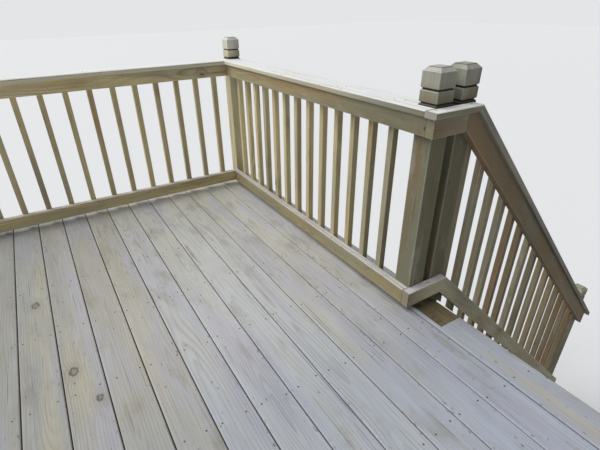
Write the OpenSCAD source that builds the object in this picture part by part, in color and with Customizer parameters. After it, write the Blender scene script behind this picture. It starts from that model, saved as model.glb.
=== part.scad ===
// Timber deck stairs: a raised platform with guard rails and a straight flight down from its front.
// Ground level is z = 0. The flight runs down towards +Y and x = 0 is its centre line.
// The right-hand side is the mirror image of the left-hand side.

/* [Flight] */
// Number of risers from the ground up to the decking
risers = 10; // [5:1:12]
// Height of one riser
rise = 208; // [180:1:215]
// Horizontal run of one step
going = 214; // [205:1:235]
// Clear width between the posts at the head of the flight
flight_w = 1065; // [850:5:1300]
// Depth of a tread plank
tread_d = 235; // [215:1:285]
// Thickness of a tread plank
tread_t = 38; // [30:1:50]
// Gap behind each tread plank
tread_gap = 2; // [1:0.5:5]
// Depth of the plank that a stringer is cut from
stringer_d = 286; // [250:1:320]
// Distance that the foot post reaches past the last tread, below zero where it stands back
foot_past = -9; // [-40:1:40]

/* [Platform] */
// Clear width of one guard rail bay
bay_w = 1780; // [1580:5:2200]
// Number of deck boards behind the notched front board
board_count = 13; // [9:1:16]
// Width of a deck board
board_w = 140; // [120:1:145]
// Thickness of a deck board
board_t = 25; // [20:1:32]
// Gap between two deck boards
board_gap = 4; // [2:1:8]
// Distance that the boards reach past the framing
overhang = 20; // [10:1:30]
// Length of the cut in the front board beside a head post
notch_l = 190; // [100:1:250]
// Width of the strip of front board that the cut leaves
strip_w = 18; // [10:1:50]

/* [Framing] */
// Thickness of the joists, rails and stringers
plank_t = 38; // [32:1:45]
// Depth of the joists
joist_d = 184; // [150:1:235]
// Spacing of the joists
joist_pitch = 406; // [380:1:430]
// Number of joists on each side of the middle one
joist_side = 5; // [3:1:5]
// Thickness of the sheet that hangs the stringers
hanger_t = 9; // [6:1:25]

/* [Posts] */
// Side of a square post
post_w = 89; // [80:1:100]
// Height of a post's top above the cap beside it
post_rise = 139; // [120:1:190]
// Size of the chamfer round a post's top
post_chamfer = 17; // [8:1:25]
// Depth of a groove round a post's head
groove_d = 7; // [3:1:10]
// Width of a groove round a post's head
groove_w = 12; // [8:1:18]
// Distance from a post's top down to its upper groove
groove_high = 79; // [60:1:95]
// Distance from a post's top down to its lower groove
groove_low = 130; // [110:1:145]
// Width of the gap cut round a post
post_fit = 1; // [0.5:0.5:3]

/* [Guard rails] */
// Height of the cap's top above the decking
guard_h = 914; // [850:1:1070]
// Depth of a level rail
rail_d = 76; // [60:1:95]
// Gap between the decking and the bottom rail
rail_lift = 30; // [20:1:90]
// Width of a cap board
cap_w = 140; // [130:1:150]
// Thickness of a cap board
cap_t = 25; // [20:1:38]
// Distance that a cap reaches past the face of its rail
cap_reach = 18; // [10:1:30]
// Side of a square baluster
baluster_w = 32; // [30:1:45]
// Number of balusters in a front bay
front_count = 13; // [8:1:14]
// Spacing of the balusters in a front bay
front_pitch = 127; // [100:0.5:139]
// Number of balusters in a side bay
side_count = 12; // [8:1:13]

/* [Stair rails] */
// Depth of the sloped rail under the cap
hand_rail_d = 82; // [70:1:95]
// Number of balusters beside the flight
stair_count = 15; // [6:1:18]
// Gap between the head post and the first baluster
stair_lead = 2; // [1:1:60]
// Gap between the last baluster and the foot post
foot_gap = 42; // [2:1:90]
// Distance that the balusters reach below the sloped bottom rail
baluster_drop = 45; // [10:1:60]
// Distance from the head post's outer face back to the upper rails' joint
upper_joint = 76; // [30:1:120]
// Distance from the head post's outer face back to the lower end of the bottom rails' mitre
lower_joint = 45; // [30:1:90]
// Distance from the head post's outer face back to the caps' mitre
cap_joint = 23; // [5:1:40]
// Distance that the sloped rails reach past the foot post
rail_tail = 6; // [2:1:20]
// Distance that the sloped cap reaches past the foot post
cap_tail = 55; // [20:1:80]

/* [Hidden] */
deck_h = risers * rise;
slope = rise / going;
pitch_angle = atan(slope);
plumb = 1 / cos(pitch_angle);
frame_top = deck_h - board_t;

head_x = flight_w / 2;
corner_x = head_x + post_w + bay_w;
end_x = corner_x + post_w;
edge_x = end_x + plank_t + overhang;

rim_y = -overhang;
post_y = rim_y - plank_t;
inner_y = post_y - post_w;
house_y = inner_y - board_count * (board_w + board_gap) + board_gap;
house_post_y = house_y + plank_t;
riser_y = rim_y + hanger_t;
head_y = riser_y + post_w;
foot_riser_y = riser_y + (risers - 1) * going;
tread_end_y = foot_riser_y - going + tread_gap + tread_d;
foot_y = tread_end_y + foot_past;
cap_end_y = foot_y + cap_tail;
rail_end_y = foot_y + rail_tail;

guard_top = deck_h + guard_h;
cap_under = guard_top - cap_t;
bottom_under = deck_h + rail_lift;
bottom_top = bottom_under + rail_d;
upper_under = cap_under - rail_d;
post_top = guard_top + post_rise;

upper_joint_y = head_y - upper_joint;
lower_joint_y = head_y - lower_joint;
cap_joint_y = head_y - cap_joint;
mitre = tan(pitch_angle / 2);
cap_seat_y = cap_joint_y - cap_t * mitre;
foot_mid_y = foot_y - post_w / 2;
foot_top = guard_top - slope * (foot_mid_y - cap_joint_y) + post_rise;

tooth_z = deck_h - tread_t;
stringer_drop = stringer_d * plumb;
stringer_low = tooth_z - stringer_drop;
mid_y = (house_y + cap_end_y) / 2;

// Puts the middle of the whole length over the origin
module placed() {
    translate([0, -mid_y, 0])
        children();
}

// The left-hand pieces are drawn as they are and the right-hand ones are mirrored
module on_side(side) {
    placed()
        mirror([side == "right" ? 1 : 0, 0, 0])
            children();
}

module block(low, high) {
    translate(low)
        cube(high - low);
}

// Extrudes a side view, drawn with y across and z up, from one x to another
module side_view(x_low, x_high) {
    translate([x_low, 0, 0])
        rotate([90, 0, 90])
            linear_extrude(x_high - x_low)
                children();
}

// Side view of a post: straight below, with two V-grooves and a chamfered top above
module post_outline(height) {
    half = post_w / 2;
    grooves = [height - groove_low, height - groove_high];
    right_side = [
        for (z = grooves, cut = [[-1, 0], [0, 1], [1, 0]])
            [half - cut[1] * groove_d, z + cut[0] * groove_w / 2]
    ];
    left_side = [for (i = [len(right_side) - 1:-1:0]) [-right_side[i][0], right_side[i][1]]];
    polygon(concat(
        [[-half, 0], [half, 0]],
        right_side,
        [[half, height - post_chamfer], [half - post_chamfer, height]],
        [[post_chamfer - half, height], [-half, height - post_chamfer]],
        left_side));
}

// A post with a decorated head, standing on the ground with its low corner at x, y
module turned_down_post(x, y, height) {
    translate([x + post_w / 2, y + post_w / 2, 0])
        intersection() {
            side_view(-post_w / 2, post_w / 2)
                post_outline(height);
            rotate([0, 0, 90])
                side_view(-post_w / 2, post_w / 2)
                    post_outline(height);
        }
}

// The space that a post and its fitting gap take out of boards and caps
module post_space(x, y) {
    block([x - post_fit, y - post_fit, 0], [x + post_w + post_fit, y + post_w + post_fit, post_top]);
}

module corner_post(side) {
    color("#a08a62")
        on_side(side)
            turned_down_post(-end_x, inner_y, post_top);
}

module deck_post(side) {
    color("#8c7d5c")
        on_side(side)
            turned_down_post(-head_x - post_w, inner_y, post_top);
}

module head_post(side) {
    color("#85775a")
        on_side(side)
            turned_down_post(-head_x - post_w, riser_y, post_top);
}

module foot_post(side) {
    color("#85775a")
        on_side(side)
            turned_down_post(-head_x - post_w, foot_y - post_w, foot_top);
}

module house_post(side) {
    color("#a08a62")
        on_side(side)
            turned_down_post(-end_x, house_post_y, post_top);
}

// A plain leg under the house side of the platform, in line with a deck post
module back_leg(side) {
    color("#85775a")
        on_side(side)
            block(
                [-head_x - post_w, house_post_y, 0],
                [-head_x, house_post_y + post_w, frame_top]);
}

// One deck board that runs the whole width, with its outer edge at y
module full_board(y) {
    block([-edge_x, y - board_w, frame_top], [edge_x, y, deck_h]);
}

module deck_boards() {
    color("#b3a892")
        placed()
            difference() {
                for (i = [0:board_count - 1])
                    full_board(inner_y - i * (board_w + board_gap));
                post_space(-end_x, house_post_y);
                post_space(corner_x, house_post_y);
            }
}

// The cut beside a head post, which leaves a strip along the board's inner edge
module head_notch() {
    block(
        [-head_x - post_w - post_fit, -board_w + strip_w, 0],
        [-head_x + notch_l, overhang, post_top]);
    post_space(-head_x - post_w, inner_y);
}

module front_board() {
    color("#b9af9a")
        placed()
            difference() {
                full_board(0);
                for (m = [0, 1])
                    mirror([m, 0, 0]) {
                        head_notch();
                        post_space(-end_x, inner_y);
                    }
            }
}

module front_rim() {
    color("#7d6c4c")
        placed()
            block([-end_x - plank_t, post_y, frame_top - joist_d], [end_x + plank_t, rim_y, frame_top]);
}

module house_rim() {
    color("#7d6c4c")
        placed()
            block(
                [-end_x - plank_t, house_y, frame_top - joist_d],
                [end_x + plank_t, house_post_y, frame_top]);
}

// A joist between the two rims with its low side at x
module joist(x) {
    block([x, house_post_y, frame_top - joist_d], [x + plank_t, post_y, frame_top]);
}

module end_joist(side) {
    color("#7d6c4c")
        on_side(side)
            joist(-end_x - plank_t);
}

module inner_joists() {
    color("#7d6c4c")
        placed()
            for (i = [-joist_side:joist_side])
                joist(i * joist_pitch - plank_t / 2);
}

// Flat blocks between the joists, from deck post to deck post, under the cut front board
module opening_blocks() {
    color("#7d6c4c")
        placed()
            difference() {
                block([-head_x, inner_y, frame_top - plank_t], [head_x, post_y, frame_top]);
                for (i = [-joist_side:joist_side])
                    joist(i * joist_pitch - plank_t / 2);
            }
}

// The plank between the head posts that closes the first riser and stands on the first tread
module stair_header() {
    color("#7d6c4c")
        placed()
            block([-head_x, riser_y, deck_h - rise], [head_x, riser_y + plank_t, frame_top]);
}

// The sheet between the rim and the head posts that the stringers hang on
module stringer_hanger() {
    color("#8f7f5e")
        placed()
            block([-head_x - post_w, rim_y, stringer_low], [head_x + post_w, riser_y, frame_top]);
}

// Side view of a stringer: a tooth under each tread, a plumb cut head and a level foot
module stringer_outline() {
    teeth = [
        for (k = [1:risers - 1], end = [0, 1])
            [riser_y + (k - 1 + end) * going, tooth_z - k * rise]
    ];
    polygon(concat(
        [[riser_y, stringer_low]],
        teeth,
        [[foot_riser_y, 0], [riser_y + stringer_low / slope, 0]]));
}

module stringer(x) {
    color("#7d6c4c")
        placed()
            side_view(x, x + plank_t)
                stringer_outline();
}

module treads() {
    color("#8f8366")
        placed()
            for (k = [1:risers - 1])
                translate([-head_x, riser_y + (k - 1) * going + tread_gap, deck_h - k * rise - tread_t])
                    cube([flight_w, tread_d, tread_t]);
}

// Front rails and balusters, from the side rail to the return rail at the head post
module front_panel(side) {
    first_x = -corner_x + (bay_w - (front_count - 1) * front_pitch - baluster_w) / 2;
    color("#b19768")
        on_side(side) {
            for (z = [bottom_under, upper_under])
                block([-corner_x + plank_t, inner_y - plank_t, z], [-head_x, inner_y, z + rail_d]);
            for (i = [0:front_count - 1])
                translate([first_x + i * front_pitch, inner_y, bottom_under])
                    cube([baluster_w, baluster_w, cap_under - bottom_under]);
        }
}

// Side rails and balusters, from the house post to the front corner
module side_panel(side) {
    side_bay = inner_y - house_post_y - post_w;
    side_gap = (side_bay - side_count * baluster_w) / (side_count + 1);
    color("#b19768")
        on_side(side) {
            for (z = [bottom_under, upper_under])
                block([-corner_x, house_post_y, z], [-corner_x + plank_t, inner_y, z + rail_d]);
            for (i = [1:side_count])
                translate([-corner_x - baluster_w, inner_y - i * (side_gap + baluster_w), bottom_under])
                    cube([baluster_w, baluster_w, cap_under - bottom_under]);
        }
}

// Height of the sloped cap's underside at a distance along the flight
function cap_slope_z(y) = cap_under - slope * (y - cap_seat_y);

// Height of the sloped bottom rail's underside at a distance along the flight
function bottom_slope_z(y) = bottom_under - slope * (y - lower_joint_y);

// Side view of the upper sloped rail: a plumb joint at its head, a level seat under the level cap
module hand_rail_outline() {
    depth = hand_rail_d * plumb;
    polygon([
        [upper_joint_y, cap_slope_z(upper_joint_y) - depth],
        [rail_end_y, cap_slope_z(rail_end_y) - depth],
        [rail_end_y, cap_slope_z(rail_end_y)],
        [cap_seat_y, cap_under],
        [upper_joint_y, cap_under]]);
}

// Side view of the lower sloped rail, mitred to the level one at its head
module bottom_rail_outline() {
    depth = rail_d * plumb;
    polygon([
        [lower_joint_y, bottom_under],
        [rail_end_y, bottom_slope_z(rail_end_y)],
        [rail_end_y, bottom_slope_z(rail_end_y) + depth],
        [lower_joint_y + rail_d * mitre, bottom_top]]);
}

// Side view of a stair baluster: its top follows the cap and its foot follows the slope
module stair_baluster_outline(y) {
    polygon([
        for (end = [y, y + baluster_w]) [end, bottom_slope_z(end) - baluster_drop],
        for (end = [y + baluster_w, y]) [end, cap_slope_z(end)]
    ]);
}

module stair_panel(side) {
    first_y = head_y + stair_lead;
    last_y = foot_y - post_w - foot_gap - baluster_w;
    spacing = (last_y - first_y) / (stair_count - 1);
    color("#75664c")
        on_side(side) {
            side_view(-head_x, -head_x + plank_t) {
                hand_rail_outline();
                bottom_rail_outline();
            }
            side_view(-head_x - baluster_w, -head_x)
                for (i = [0:stair_count - 1])
                    stair_baluster_outline(first_y + i * spacing);
        }
}

// Level rail across the head of the flight's side, under the return cap
module return_upper_rail(side) {
    color("#75664c")
        on_side(side)
            block(
                [-head_x, inner_y - plank_t, upper_under],
                [-head_x + plank_t, upper_joint_y, cap_under]);
}

// Level rail beside the deck and head posts, mitred to the sloped bottom rail
module return_bottom_rail(side) {
    start_y = inner_y - plank_t;
    color("#75664c")
        on_side(side)
            side_view(-head_x, -head_x + plank_t)
                polygon([
                    [start_y, bottom_under],
                    [lower_joint_y, bottom_under],
                    [lower_joint_y + rail_d * mitre, bottom_top],
                    [start_y, bottom_top]]);
}

cap_in_x = corner_x - plank_t - cap_reach;
cap_in_y = inner_y - plank_t - cap_reach;

// Front cap, mitred at the corner and notched round the two posts
module front_cap(side) {
    color("#cfc6b2")
        on_side(side)
            difference() {
                translate([0, 0, cap_under])
                    linear_extrude(cap_t)
                        polygon([
                            [-cap_in_x, cap_in_y],
                            [-head_x, cap_in_y],
                            [-head_x, cap_in_y + cap_w],
                            [-cap_in_x - cap_w, cap_in_y + cap_w]]);
                post_space(-end_x, inner_y);
                post_space(-head_x - post_w, inner_y);
            }
}

// Side cap from the corner mitre to the house post
module side_cap(side) {
    color("#cfc6b2")
        on_side(side)
            difference() {
                translate([0, 0, cap_under])
                    linear_extrude(cap_t)
                        polygon([
                            [-cap_in_x, cap_in_y],
                            [-cap_in_x - cap_w, cap_in_y + cap_w],
                            [-cap_in_x - cap_w, house_post_y],
                            [-cap_in_x, house_post_y]]);
                post_space(-end_x, inner_y);
                post_space(-end_x, house_post_y);
            }
}

// Side view of the return cap, mitred where the sloped cap starts
module return_cap_outline() {
    polygon([
        [cap_in_y, cap_under],
        [cap_seat_y, cap_under],
        [cap_joint_y, guard_top],
        [cap_in_y, guard_top]]);
}

module return_cap(side) {
    color("#cfc6b2")
        on_side(side)
            side_view(-head_x, -head_x + plank_t + cap_reach)
                return_cap_outline();
}

// Side view of the sloped cap from a distance along the flight to its plumb cut foot
module sloped_cap_outline(start_y, end_y) {
    depth = cap_t * plumb;
    polygon([
        [start_y, cap_slope_z(start_y)],
        [end_y, cap_slope_z(end_y)],
        [end_y, cap_slope_z(end_y) + depth],
        [start_y, cap_slope_z(start_y) + depth]]);
}

// Sloped cap: full width between the posts, and a narrow part that runs on past the foot post
module stair_cap(side) {
    inner_edge = plank_t + cap_reach;
    depth = cap_t * plumb;
    color("#8f8470")
        on_side(side) {
            side_view(-head_x, -head_x + inner_edge)
                polygon([
                    [cap_seat_y, cap_under],
                    [cap_end_y, cap_slope_z(cap_end_y)],
                    [cap_end_y, cap_slope_z(cap_end_y) + depth],
                    [cap_joint_y, guard_top]]);
            side_view(-head_x + inner_edge - cap_w, -head_x)
                sloped_cap_outline(head_y + post_fit, foot_y - post_w - post_fit);
        }
}

deck_boards();
front_board();
front_rim();
house_rim();
end_joist("left");  // left_end_joist
end_joist("right");  // right_end_joist
inner_joists();
opening_blocks();
stair_header();
stringer_hanger();
corner_post("left");  // left_corner_post
corner_post("right");  // right_corner_post
deck_post("left");  // left_deck_post
deck_post("right");  // right_deck_post
head_post("left");  // left_head_post
head_post("right");  // right_head_post
foot_post("left");  // left_foot_post
foot_post("right");  // right_foot_post
house_post("left");  // left_house_post
house_post("right");  // right_house_post
back_leg("left");  // left_back_leg
back_leg("right");  // right_back_leg
front_panel("left");  // left_front_panel
front_panel("right");  // right_front_panel
side_panel("left");  // left_side_panel
side_panel("right");  // right_side_panel
stair_panel("left");  // left_stair_panel
stair_panel("right");  // right_stair_panel
front_cap("left");  // left_front_cap
front_cap("right");  // right_front_cap
side_cap("left");  // left_side_cap
side_cap("right");  // right_side_cap
stair_cap("left");  // left_stair_cap
stair_cap("right");  // right_stair_cap
return_cap("left");  // left_return_cap
return_cap("right");  // right_return_cap
return_upper_rail("left");  // left_return_upper_rail
return_upper_rail("right");  // right_return_upper_rail
return_bottom_rail("left");  // left_return_bottom_rail
return_bottom_rail("right");  // right_return_bottom_rail
stringer(-head_x);  // left_stringer
stringer(-plank_t / 2);  // middle_stringer
stringer(head_x - plank_t);  // right_stringer
treads();
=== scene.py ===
"""Raised timber platform with guard rails and an open flight of steps: finished boards, fixings and stage."""
import math
import random

import bmesh
import bpy
from mathutils import Matrix, Vector


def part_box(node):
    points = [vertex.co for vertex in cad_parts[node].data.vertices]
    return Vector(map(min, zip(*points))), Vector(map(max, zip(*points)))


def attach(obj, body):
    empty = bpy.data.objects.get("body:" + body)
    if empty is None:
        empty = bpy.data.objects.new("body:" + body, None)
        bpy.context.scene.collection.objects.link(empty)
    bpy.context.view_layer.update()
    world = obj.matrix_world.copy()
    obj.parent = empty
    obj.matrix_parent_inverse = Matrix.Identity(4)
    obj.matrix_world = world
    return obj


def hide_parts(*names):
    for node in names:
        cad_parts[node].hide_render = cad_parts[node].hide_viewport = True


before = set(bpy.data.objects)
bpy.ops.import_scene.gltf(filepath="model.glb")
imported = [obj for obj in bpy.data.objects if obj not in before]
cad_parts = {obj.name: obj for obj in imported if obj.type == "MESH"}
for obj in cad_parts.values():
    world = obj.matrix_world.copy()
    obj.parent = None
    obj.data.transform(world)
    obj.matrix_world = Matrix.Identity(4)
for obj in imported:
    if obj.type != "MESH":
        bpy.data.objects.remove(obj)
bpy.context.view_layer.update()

# Sizes of the timber, in metres
BOARD_W = 0.140
BOARD_T = 0.025
BOARD_GAP = 0.004
BOARD_COUNT = 13
PLANK_T = 0.038
BALUSTER_W = 0.032
RAIL_D = 0.076
HAND_RAIL_D = 0.082
CAP_W = 0.140
CAP_T = 0.025
CAP_REACH = 0.018
POST_FIT = 0.001
POST_CHAMFER = 0.017
GROOVE_D = 0.007
GROOVE_W = 0.012
GROOVE_HIGH = 0.079
GROOVE_LOW = 0.130
NOTCH_L = 0.190
STRIP_W = 0.018
RISERS = 10
RISE = 0.208
GOING = 0.214
STRINGER_D = 0.286
TREAD_D = 0.235
TREAD_T = 0.038
TREAD_GAP = 0.002
JOIST_PITCH = 0.406
JOIST_SIDE = 5
FRONT_COUNT = 13
FRONT_PITCH = 0.127
SIDE_COUNT = 12
STAIR_COUNT = 15
STAIR_LEAD = 0.002
FOOT_GAP = 0.042
BALUSTER_DROP = 0.045
UPPER_JOINT = 0.076
LOWER_JOINT = 0.045
CAP_JOINT = 0.023
CAP_SPARE = 0.05

# Radius of the rounded long edges, and the faces along each of them
DECK_EASE = 0.005
CAP_EASE = 0.006
PLANK_EASE = 0.003
POST_EASE = 0.003
EASE_FACES = 3

# How near two places, angles or directions count as the same
FACE_NEAR = 1e-4
POINT_NEAR = 1e-5
SAW_NEAR = 1e-6
FLAT_ANGLE = 0.1
SAME_WAY = 0.999
MOSTLY = 0.9

# Where a board comes from in its log, in metres along it, aside and away from the pith
LOG_L = 40.0
LOG_ASIDE = 0.03
PITH_OFF = (0.015, 0.06)

# Nails, bolts and steel hangers
NAIL_R = 0.0042
NAIL_RISE = 0.0005
NAIL_SIDES = 8
BOLT_R = 0.0095
BOLT_RISE = 0.007
BOLT_SIDES = 6
WASHER_R = 0.017
WASHER_T = 0.002
WASHER_SIDES = 16
HEAD_SINK = 0.001
HEAD_TAPER = 0.85
HANGER_STEEL = 0.0015
HANGER_DEPTH = 0.110
HANGER_REACH = 0.045
HANGER_FLANGE = 0.020

# Nails: off a deck board's middle, across a tread, the shift of a cap's outer ones, the room beside a cut,
# and how far each of them strays
BOARD_NAIL_OFF = 0.046
TREAD_NAIL_SHARES = (0.45, 0.85)
CAP_NAIL_SHIFT = 0.02
CUT_SPARE = 0.02
BOARD_STRAY_X = 0.009
BOARD_STRAY_Y = 0.012
TREAD_STRAY = 0.006
RAIL_STRAY = 0.012
STAIR_STRAY = 0.010

# Dirt and painted shade in the gaps between the deck boards: a dark sheet that hides the lit floor below
DIRT_AND_SHADE_DEEP = 0.010
DIRT_AND_SHADE_T = 0.004

# Planes that the boards meet at, read from the frame
DECK_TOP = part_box("deck_boards")[1].z
FRAME_TOP = DECK_TOP - BOARD_T
EDGE_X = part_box("deck_boards")[1].x
DECK_EDGE_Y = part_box("front_board")[1].y
HEAD_X = -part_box("left_deck_post")[1].x
CORNER_X = -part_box("left_corner_post")[1].x
END_X = -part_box("left_corner_post")[0].x
POST_W = END_X - CORNER_X
POST_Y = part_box("left_deck_post")[1].y
INNER_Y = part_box("left_deck_post")[0].y
RISER_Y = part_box("left_head_post")[0].y
HEAD_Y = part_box("left_head_post")[1].y
RIM_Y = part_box("front_rim")[1].y
RIM_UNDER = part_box("front_rim")[0].z
HOUSE_POST_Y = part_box("left_house_post")[0].y
FOOT_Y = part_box("left_foot_post")[1].y
GUARD_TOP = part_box("left_front_cap")[1].z
CAP_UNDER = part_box("left_front_cap")[0].z
BOTTOM_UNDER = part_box("left_front_panel")[0].z
BOTTOM_TOP = BOTTOM_UNDER + RAIL_D
UPPER_UNDER = CAP_UNDER - RAIL_D
RAIL_END_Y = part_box("left_stair_panel")[1].y
CAP_END_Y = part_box("left_stair_cap")[1].y

SLOPE = RISE / GOING
PITCH = math.atan(SLOPE)
PLUMB = 1 / math.cos(PITCH)
MITRE = math.tan(PITCH / 2)
UPPER_JOINT_Y = HEAD_Y - UPPER_JOINT
LOWER_JOINT_Y = HEAD_Y - LOWER_JOINT
CAP_JOINT_Y = HEAD_Y - CAP_JOINT
CAP_SEAT_Y = CAP_JOINT_Y - CAP_T * MITRE
TOOTH_Z = DECK_TOP - TREAD_T
STRINGER_LOW = TOOTH_Z - STRINGER_D * PLUMB
JOIST_XS = [i * JOIST_PITCH for i in range(-JOIST_SIDE, JOIST_SIDE + 1)]

X_AXIS = Vector((1, 0, 0))
Y_AXIS = Vector((0, 1, 0))
Z_AXIS = Vector((0, 0, 1))
DOWN_FLIGHT = Vector((0, math.cos(PITCH), -math.sin(PITCH)))

SEED = 11
rng = random.Random(SEED)


def tint(red, green, blue):
    """A colour written as it shows on a screen, 0 to 255, turned to linear light."""
    values = [c / 255 for c in (red, green, blue)]
    return tuple(c / 12.92 if c <= 0.04045 else ((c + 0.055) / 1.055) ** 2.4 for c in values) + (1,)


def both_ends(value):
    """One value holds for the whole board, two are those at its start and at its end."""
    return value if isinstance(value, tuple) else (value, value)


def stray(reach):
    """How far a nail sits from where it was meant to go."""
    return rng.uniform(-reach, reach)


def rectangle(x_low, y_low, x_high, y_high):
    """The outline between two corners."""
    return [(x_low, y_low), (x_high, y_low), (x_high, y_high), (x_low, y_high)]


def cap_slope_z(y):
    """Underside of the sloped cap."""
    return CAP_UNDER - SLOPE * (y - CAP_SEAT_Y)


def bottom_slope_z(y):
    """Underside of the sloped bottom rail."""
    return BOTTOM_UNDER - SLOPE * (y - LOWER_JOINT_Y)


def scene_object(name, data):
    """Puts a mesh, a light or a camera into the scene."""
    made = bpy.data.objects.new(name, data)
    bpy.context.collection.objects.link(made)
    return made


def mesh_object(name, bm, material):
    """Turns a finished shape into an object of one material."""
    mesh = bpy.data.meshes.new(name)
    bm.to_mesh(mesh)
    bm.free()
    mesh.materials.append(material)
    return scene_object(name, mesh)


class Graph:
    """Short names for the nodes that a material is made of."""

    def __init__(self, tree):
        self.tree = tree

    def node(self, kind, **settings):
        """A new node with its settings."""
        made = self.tree.nodes.new(kind)
        for key, value in settings.items():
            setattr(made, key, value)
        return made

    def put(self, socket, value):
        """Links another node's output to a socket, or writes a plain value there."""
        if isinstance(value, bpy.types.NodeSocket):
            self.tree.links.new(value, socket)
        else:
            socket.default_value = value

    def math(self, operation, *values):
        """The result of one sum."""
        made = self.node("ShaderNodeMath", operation=operation)
        for socket, value in zip(made.inputs, values):
            self.put(socket, value)
        return made.outputs[0]

    def vector(self, operation, *values):
        """The result of one sum in three directions."""
        made = self.node("ShaderNodeVectorMath", operation=operation)
        for socket, value in zip(made.inputs, values):
            self.put(socket, value)
        return made.outputs[0]

    def split(self, value):
        """The three parts of a vector."""
        made = self.node("ShaderNodeSeparateXYZ")
        self.put(made.inputs[0], value)
        return made.outputs[0], made.outputs[1], made.outputs[2]

    def attribute(self, name):
        """What Bench.finish has written on the corners of the boards."""
        return self.node("ShaderNodeAttribute", attribute_name=name).outputs["Vector"]

    def noise(self, place, scale=1.0, detail=2.0, roughness=0.5):
        """Soft chance values round 0.5."""
        made = self.node("ShaderNodeTexNoise")
        self.put(made.inputs["Vector"], place)
        made.inputs["Scale"].default_value = scale
        made.inputs["Detail"].default_value = detail
        made.inputs["Roughness"].default_value = roughness
        return made.outputs[0]

    def pattern(self, grain, per_metre, detail=2.0, roughness=0.5, start=(0.0, 0.0, 0.0)):
        """A noise that changes so many times in a metre along, across and through the board."""
        return self.noise(self.vector("MULTIPLY_ADD", grain, per_metre, start), 1.0, detail, roughness)

    def step(self, value, start, end, low=0.0, high=1.0):
        """Rises smoothly from low to high as the value goes from start to end."""
        made = self.node("ShaderNodeMapRange", interpolation_type="SMOOTHSTEP")
        for socket, number in zip(made.inputs[1:5], (start, end, low, high)):
            socket.default_value = number
        self.put(made.inputs[0], value)
        return made.outputs[0]

    def blend(self, factor, a, b, kind="MIX"):
        """Colour a with as much of b over it as the factor says."""
        made = self.node("ShaderNodeMix", data_type="RGBA", blend_type=kind)
        self.put(made.inputs[0], factor)
        self.put(made.inputs[6], a)
        self.put(made.inputs[7], b)
        return made.outputs[2]

    def grey(self, value):
        """One value as a colour."""
        made = self.node("ShaderNodeCombineXYZ")
        for socket in made.inputs:
            self.put(socket, value)
        return made.outputs[0]


def new_material(name):
    """A material, its graph and its shader."""
    material = bpy.data.materials.new(name)
    material.use_nodes = True
    return material, Graph(material.node_tree), material.node_tree.nodes["Principled BSDF"]


# Patterns in the wood: how often each one changes in a metre along, across and through a board
FIBRES_PER_M = (5.0, 260.0, 260.0)
STREAKS_PER_M = (1.3, 15.0, 15.0)
PATCHES_PER_M = (3.2, 9.0, 9.0)
CLOUDS_PER_M = (1.1, 8.0, 8.0)
SPECKS_PER_M = (40.0, 75.0, 75.0)
CRACKS_PER_M = (2.6, 150.0, 150.0)
RING_FADES_PER_M = (1.6, 7.0, 7.0)
RING_BENDS_PER_M = (0.55, 3.0, 3.0)
KNOT_EDGE_PER_M = (60.0, 60.0, 60.0)
# Two of them start elsewhere, so that they don't follow the others
CLOUDS_START = (7.0, 3.0, 5.0)
RING_FADES_START = (3.0, 9.0, 1.0)

# Knots: cells in a metre and their shape, what chance has to pass to give one, and sizes as shares of a cell
KNOT_CELLS_PER_M = 7.0
KNOT_CELL_SHAPE = (0.72, 1.0, 1.0)
KNOT_CHANCE = 0.82
KNOT_SIZE = 0.05
KNOT_SIZE_MORE = 0.09
KNOT_EDGE = 0.12
KNOT_REACH = 0.30
# Metres that the rings bulge round a knot and sway along the board
KNOT_BULGE = 0.012
RING_SWAY = 0.085

# Levels between which each of them fades in
STREAKS_FADE = (0.46, 0.68)
DARK_PATCHES_FADE = (0.52, 0.72)
PALE_PATCHES_FADE = (0.48, 0.28)
CLOUDS_FADE = (0.46, 0.66)
CRUMBS_FADE = (0.68, 0.76)
CRACKS_FADE = (0.70, 0.76)
FIBRES_FADE = (0.25, 0.75)
FIBRES_ROUGH = (0.2, 0.8)
RINGS_FADE = (0.35, 0.65)
LATE_WOOD_RISE = (0.25, 0.88)
LATE_WOOD_FALL = (1.0, 0.90)
KNOT_CORE_FADE = (0.02, -0.01)
KNOT_HEART_FADE = (-0.06, -0.02)
# How far a face looks up where the paler top, partly weathered and partly painted sky sheen, and the crumbs fade in
WEATHER_AND_SHEEN_UP = (0.35, 0.80)
CRUMBS_UP = (0.5, 0.9)

# How strongly each mark covers the colour below it
WARM_LEAST = 0.1
RINGS_FAINT = 0.25
RINGS_STRONG = 1.75
FIBRES_DARK = 0.88
FIBRES_PALE = 1.06
CRUMBS_SHARE = 0.5
CRUMBS_MORE = 0.07
CRACKS_SHARE = 0.55
KNOT_SHARE = 0.75
KNOT_HEART_SHARE = 0.45
KNOT_NEAR_SHARE = 0.28
ARRIS_SHARE = 0.22
END_SHARE = 0.3
JOINT_SHARE = 0.7
# What a post of the deepest tone loses of the paler top and head: painted shade on the posts by the flight
TOP_SHADE = 0.7
HEAD_SHADE = 0.75

# Metres from a board's sides and ends between which wear, crumbs, and groove dirt with painted shade fade in
ARRIS_WEAR = (0.006, 0.001)
SIDE_CRUMBS = (0.022, 0.0)
END_GREY = (0.0004, 0.0002)
JOINT_FAR = (0.0045, 0.0015)
JOINT_NEAR = (0.0003, 0.0006)
GROOVE_DIRT_AND_SHADE = (0.0004, 0.004)

# Metres below a post's top between which its pale part, its head, and the dirt and painted shade in its grooves and at
# its foot fade in
PALE_FADE = (1.30, 0.95)
HEAD_FADE = (0.135, 0.035)
CHAMFER_FADE = (POST_CHAMFER, POST_CHAMFER + 0.01)
RIM_START = (GROOVE_LOW, GROOVE_LOW + 0.006)
RIM_END = (0.150, 0.143)
GROOVE_DIRT_AND_SHADE_COLOUR = tint(34, 29, 20)

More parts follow.
